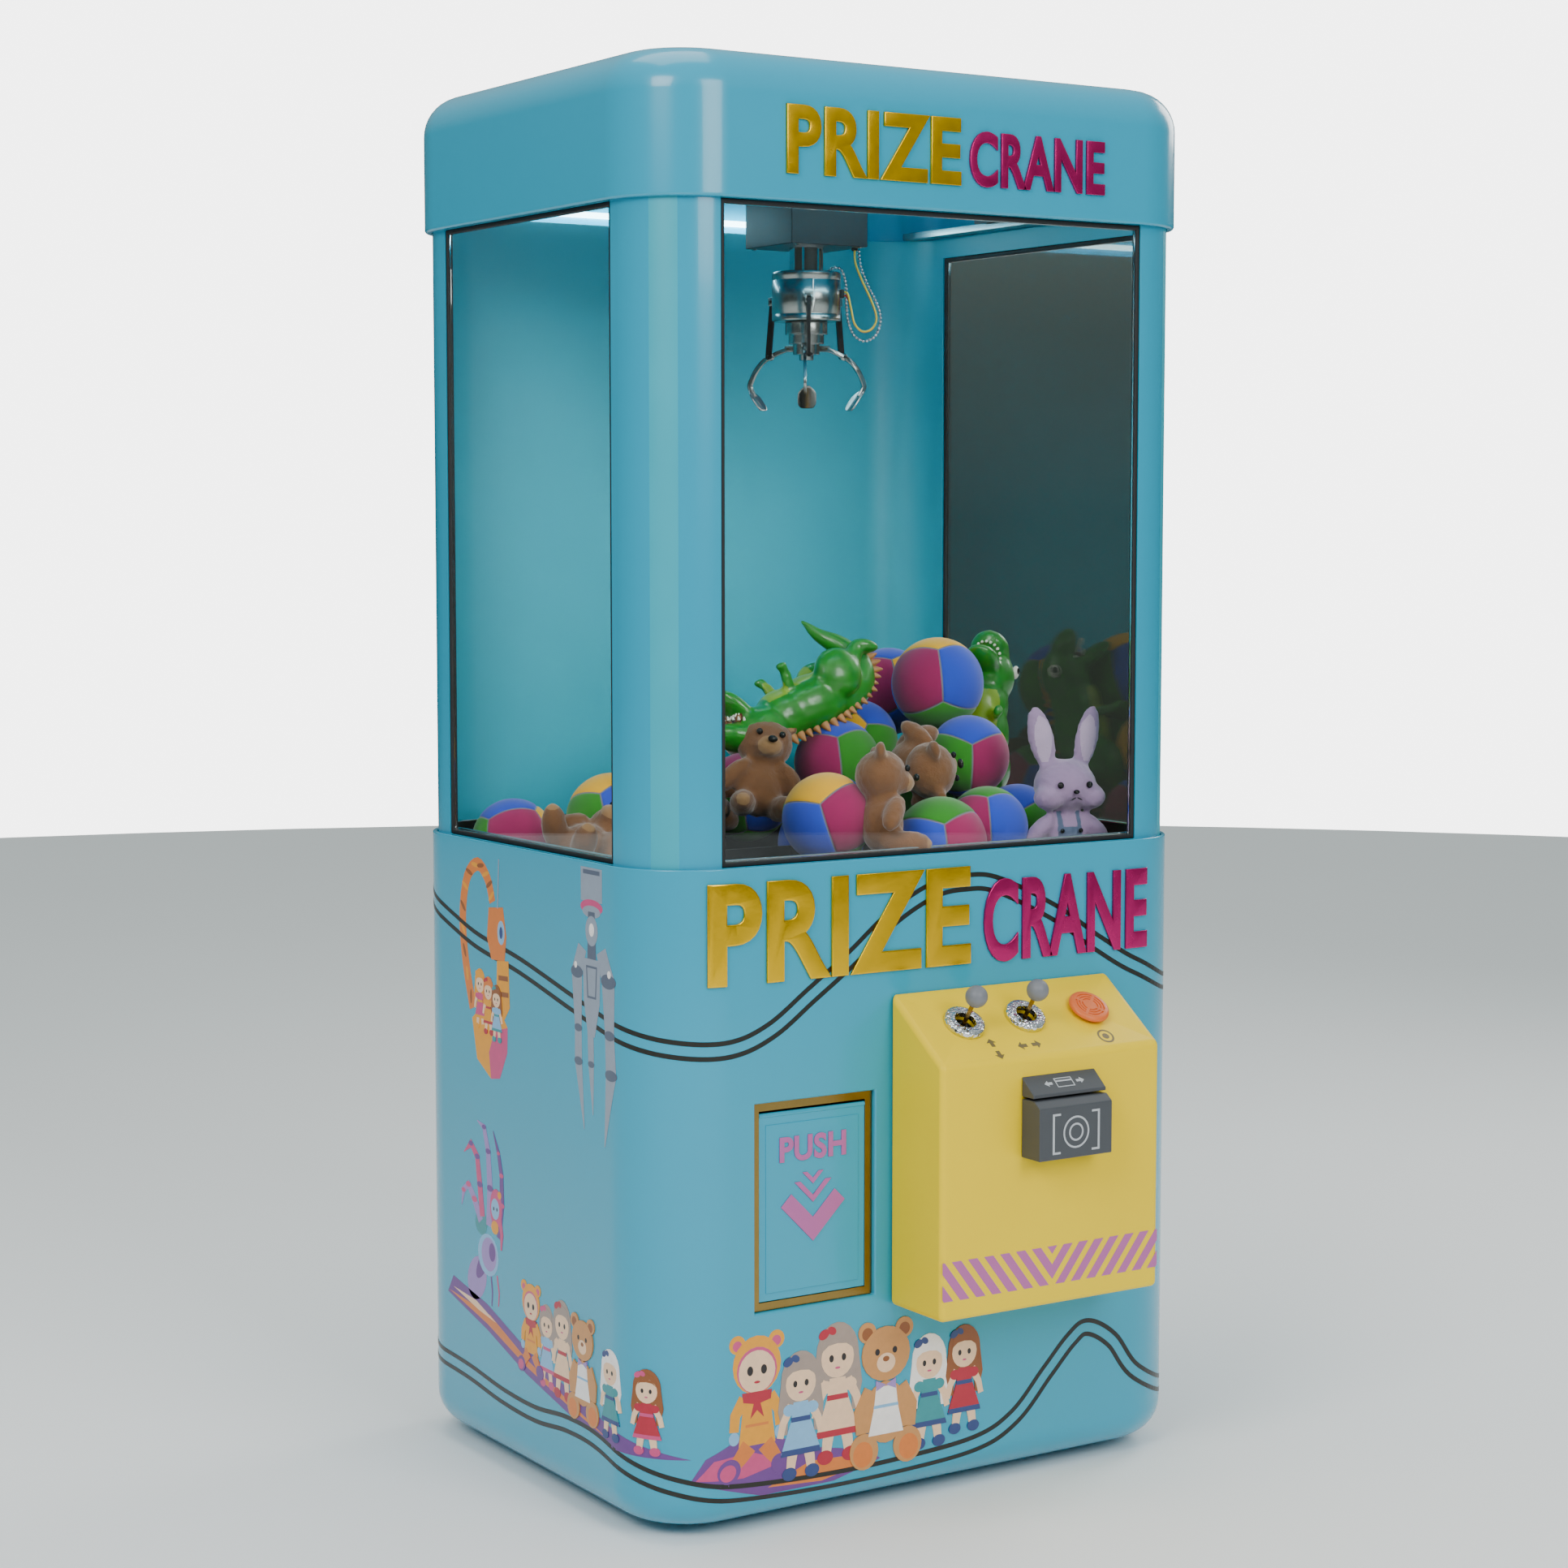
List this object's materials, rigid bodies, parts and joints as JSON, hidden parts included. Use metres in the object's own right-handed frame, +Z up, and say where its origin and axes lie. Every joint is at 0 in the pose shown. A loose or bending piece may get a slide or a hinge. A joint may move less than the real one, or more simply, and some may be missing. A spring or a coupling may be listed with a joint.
{
  "type": "claw crane machine",
  "caption": "Arcade crane cabinet with glazed play area, overhead gantry, telescoping three-finger claw, sloped joystick console, card reader and push-flap prize door.",
  "frame": {"origin": "centre of the footprint's bounding box, on the floor", "axes": "+Z up, front of the cabinet towards -Y, +X to the player's right"},
  "size_m": [0.8954, 0.8802, 1.915],
  "materials": {
    "body_enamel": "gloss moulded shell",
    "clear_glass": "clear polished",
    "black_rubber": "matt",
    "tray_steel": "black powder coat",
    "chrome": "polished",
    "nickel": "satin nickel plate",
    "dark_steel": "blackened",
    "brass": "polished",
    "yellow_plastic": "gloss",
    "grey_ball": "satin",
    "orange_plastic": "satin",
    "grey_plastic": "fine texture",
    "black_plastic": "matt",
    "red_wire": "satin",
    "yellow_wire": "satin",
    "unit_case": "matt",
    "soft_toys": "plush and cotton"
  },
  "bodies": {
    "root": {"base_cabinet": "body_enamel", "cabin_frame": "body_enamel", "header_shell": "body_enamel", "front_glass": "clear_glass", "left_glass": "clear_glass", "right_glass": "clear_glass", "front_gasket": "black_rubber", "left_gasket": "black_rubber", "right_gasket": "black_rubber", "playfield_tray": "tray_steel", "prize_chute": "tray_steel", "prize_pile": "soft_toys", "foot_front_left": "black_rubber", "foot_front_right": "black_rubber", "foot_rear_left": "black_rubber", "foot_rear_right": "black_rubber", "door_frame": "brass", "door_hinge_pin": "dark_steel", "control_unit": "unit_case", "control_console": "yellow_plastic", "left_joystick_collar": "chrome", "left_joystick_housing": "black_plastic", "right_joystick_collar": "chrome", "right_joystick_housing": "black_plastic", "push_button_body": "black_plastic", "push_button_spring": "nickel", "reader_body": "grey_plastic", "reader_cap": "grey_plastic", "rail_left": "nickel", "rail_right": "nickel"},
    "prize_flap": {"door_flap": "body_enamel"},
    "left_gimbal": {"left_joystick_gimbal": "dark_steel"},
    "left_stick": {"left_joystick_stick": "chrome", "left_joystick_ball": "grey_ball"},
    "right_gimbal": {"right_joystick_gimbal": "dark_steel"},
    "right_stick": {"right_joystick_stick": "chrome", "right_joystick_ball": "grey_ball"},
    "push_button": {"push_button_cap": "orange_plastic"},
    "bridge": {"bridge_beam": "dark_steel"},
    "axle_front": {"bridge_axle_front": "nickel"},
    "axle_rear": {"bridge_axle_rear": "nickel"},
    "trolley": {"trolley_housing": "tray_steel", "hoist_motor": "dark_steel", "tube_outer": "chrome", "claw_wire_red": "red_wire", "claw_wire_yellow": "yellow_wire", "claw_spring_cable": "chrome"},
    "drum": {"hoist_drum": "nickel"},
    "mid_tube": {"tube_mid": "chrome"},
    "claw": {"claw_stem": "chrome", "claw_head": "nickel"},
    "plunger": {"claw_plunger": "nickel"},
    "strut_1": {"claw_link_1": "dark_steel"},
    "finger_1": {"claw_arm_1": "nickel"},
    "strut_2": {"claw_link_2": "dark_steel"},
    "finger_2": {"claw_arm_2": "nickel"},
    "strut_3": {"claw_link_3": "dark_steel"},
    "finger_3": {"claw_arm_3": "nickel"},
    "rear_door": {"service_door": "body_enamel"},
    "door_lock": {"service_lock": "dark_steel"}
  },
  "joints": [
    {"name": "prize_flap_swing", "type": "hinge", "parent": "root", "child": "prize_flap", "pos_m": [-0.202, -0.27145, 0.5535], "axis": [1, 0, 0], "range_deg": [0, 50]},
    {"name": "left_stick_forward_back", "type": "hinge", "parent": "root", "child": "left_gimbal", "pos_m": [-0.007, -0.33087, 0.64416], "axis": [1, 0, 0], "range_deg": [-15, 15], "stiffness_Nm_per_rad": 0.8, "springref_deg": -0.86},
    {"name": "left_stick_left_right", "type": "hinge", "parent": "left_gimbal", "child": "left_stick", "pos_m": [-0.007, -0.33087, 0.64416], "axis": [0, 0.8195, 0.573], "range_deg": [-15, 15], "stiffness_Nm_per_rad": 0.8},
    {"name": "right_stick_forward_back", "type": "hinge", "parent": "root", "child": "right_gimbal", "pos_m": [0.094, -0.33087, 0.64416], "axis": [1, 0, 0], "range_deg": [-15, 15], "stiffness_Nm_per_rad": 0.8, "springref_deg": -0.86},
    {"name": "right_stick_left_right", "type": "hinge", "parent": "right_gimbal", "child": "right_stick", "pos_m": [0.094, -0.33087, 0.64416], "axis": [0, 0.8195, 0.573], "range_deg": [-15, 15], "stiffness_Nm_per_rad": 0.8},
    {"name": "push_button_press", "type": "slide", "parent": "root", "child": "push_button", "axis": [0, 0.573, -0.8195], "range_m": [0, 0.0035], "stiffness_N_per_m": 500, "springref_m": -0.003},
    {"name": "bridge_travel", "type": "slide", "parent": "root", "child": "bridge", "axis": [0, 1, 0], "range_m": [-0.2, 0.2]},
    {"name": "axle_front_roll", "type": "hinge", "parent": "bridge", "child": "axle_front", "pos_m": [0, -0.00865, 1.7736], "axis": [1, 0, 0], "range_deg": [-960, 960]},
    {"name": "axle_rear_roll", "type": "hinge", "parent": "bridge", "child": "axle_rear", "pos_m": [0, 0.15735, 1.7736], "axis": [1, 0, 0], "range_deg": [-960, 960]},
    {"name": "trolley_travel", "type": "slide", "parent": "bridge", "child": "trolley", "axis": [1, 0, 0], "range_m": [-0.3, 0.27]},
    {"name": "claw_hoist", "type": "slide", "parent": "trolley", "child": "claw", "axis": [0, 0, -1], "range_m": [0, 0.27]},
    {"name": "mid_tube_slide", "type": "slide", "parent": "trolley", "child": "mid_tube", "axis": [0, 0, -1], "range_m": [0, 0.135]},
    {"name": "hoist_drum_turn", "type": "hinge", "parent": "trolley", "child": "drum", "pos_m": [0.0145, 0.11935, 1.814], "axis": [1, 0, 0], "range_deg": [0, 1110]},
    {"name": "claw_close", "type": "slide", "parent": "claw", "child": "plunger", "axis": [0, 0, 1], "range_m": [0, 0.016], "stiffness_N_per_m": 300, "springref_m": -0.004},
    {"name": "strut_1_swing", "type": "hinge", "parent": "claw", "child": "strut_1", "pos_m": [-0.01398, 0.02965, 1.6315], "axis": [0.8434, -0.5373, 0], "range_deg": [0, 9]},
    {"name": "finger_1_turn", "type": "hinge", "parent": "strut_1", "child": "finger_1", "pos_m": [-0.01774, 0.02375, 1.5545], "axis": [0.8434, -0.5373, 0], "range_deg": [0, 27.1]},
    {"name": "strut_2_swing", "type": "hinge", "parent": "claw", "child": "strut_2", "pos_m": [0.06745, 0.07204, 1.6315], "axis": [0.0436, 0.999, 0], "range_deg": [0, 9]},
    {"name": "finger_2_turn", "type": "hinge", "parent": "strut_2", "child": "finger_2", "pos_m": [0.07444, 0.07173, 1.5545], "axis": [0.0436, 0.999, 0], "range_deg": [0, 27.1]},
    {"name": "strut_3_swing", "type": "hinge", "parent": "claw", "child": "strut_3", "pos_m": [-0.00997, 0.12136, 1.6315], "axis": [-0.887, -0.4617, 0], "range_deg": [0, 9]},
    {"name": "finger_3_turn", "type": "hinge", "parent": "strut_3", "child": "finger_3", "pos_m": [-0.0132, 0.12757, 1.5545], "axis": [-0.887, -0.4617, 0], "range_deg": [0, 27.1]},
    {"name": "service_door_swing", "type": "hinge", "parent": "root", "child": "rear_door", "pos_m": [0.2215, 0.43555, 0.435], "axis": [0, 0, -1], "range_deg": [0, 110]},
    {"name": "service_lock_turn", "type": "hinge", "parent": "rear_door", "child": "door_lock", "pos_m": [-0.195, 0.43025, 0.435], "axis": [0, 1, 0], "range_deg": [0, 90]}
  ],
  "couplings": [
    {"joint": "axle_front_roll", "follows": "bridge_travel", "rad_per_m": -83.333},
    {"joint": "axle_rear_roll", "follows": "bridge_travel", "rad_per_m": -83.333},
    {"joint": "mid_tube_slide", "follows": "claw_hoist", "ratio": 0.5},
    {"joint": "hoist_drum_turn", "follows": "claw_hoist", "rad_per_m": 71.429},
    {"joint": "strut_1_swing", "follows": "claw_close", "rad_per_m": 9.7193},
    {"joint": "finger_1_turn", "follows": "claw_close", "rad_per_m": 29.354},
    {"joint": "strut_2_swing", "follows": "claw_close", "rad_per_m": 9.7193},
    {"joint": "finger_2_turn", "follows": "claw_close", "rad_per_m": 29.354},
    {"joint": "strut_3_swing", "follows": "claw_close", "rad_per_m": 9.7193},
    {"joint": "finger_3_turn", "follows": "claw_close", "rad_per_m": 29.354}
  ]
}
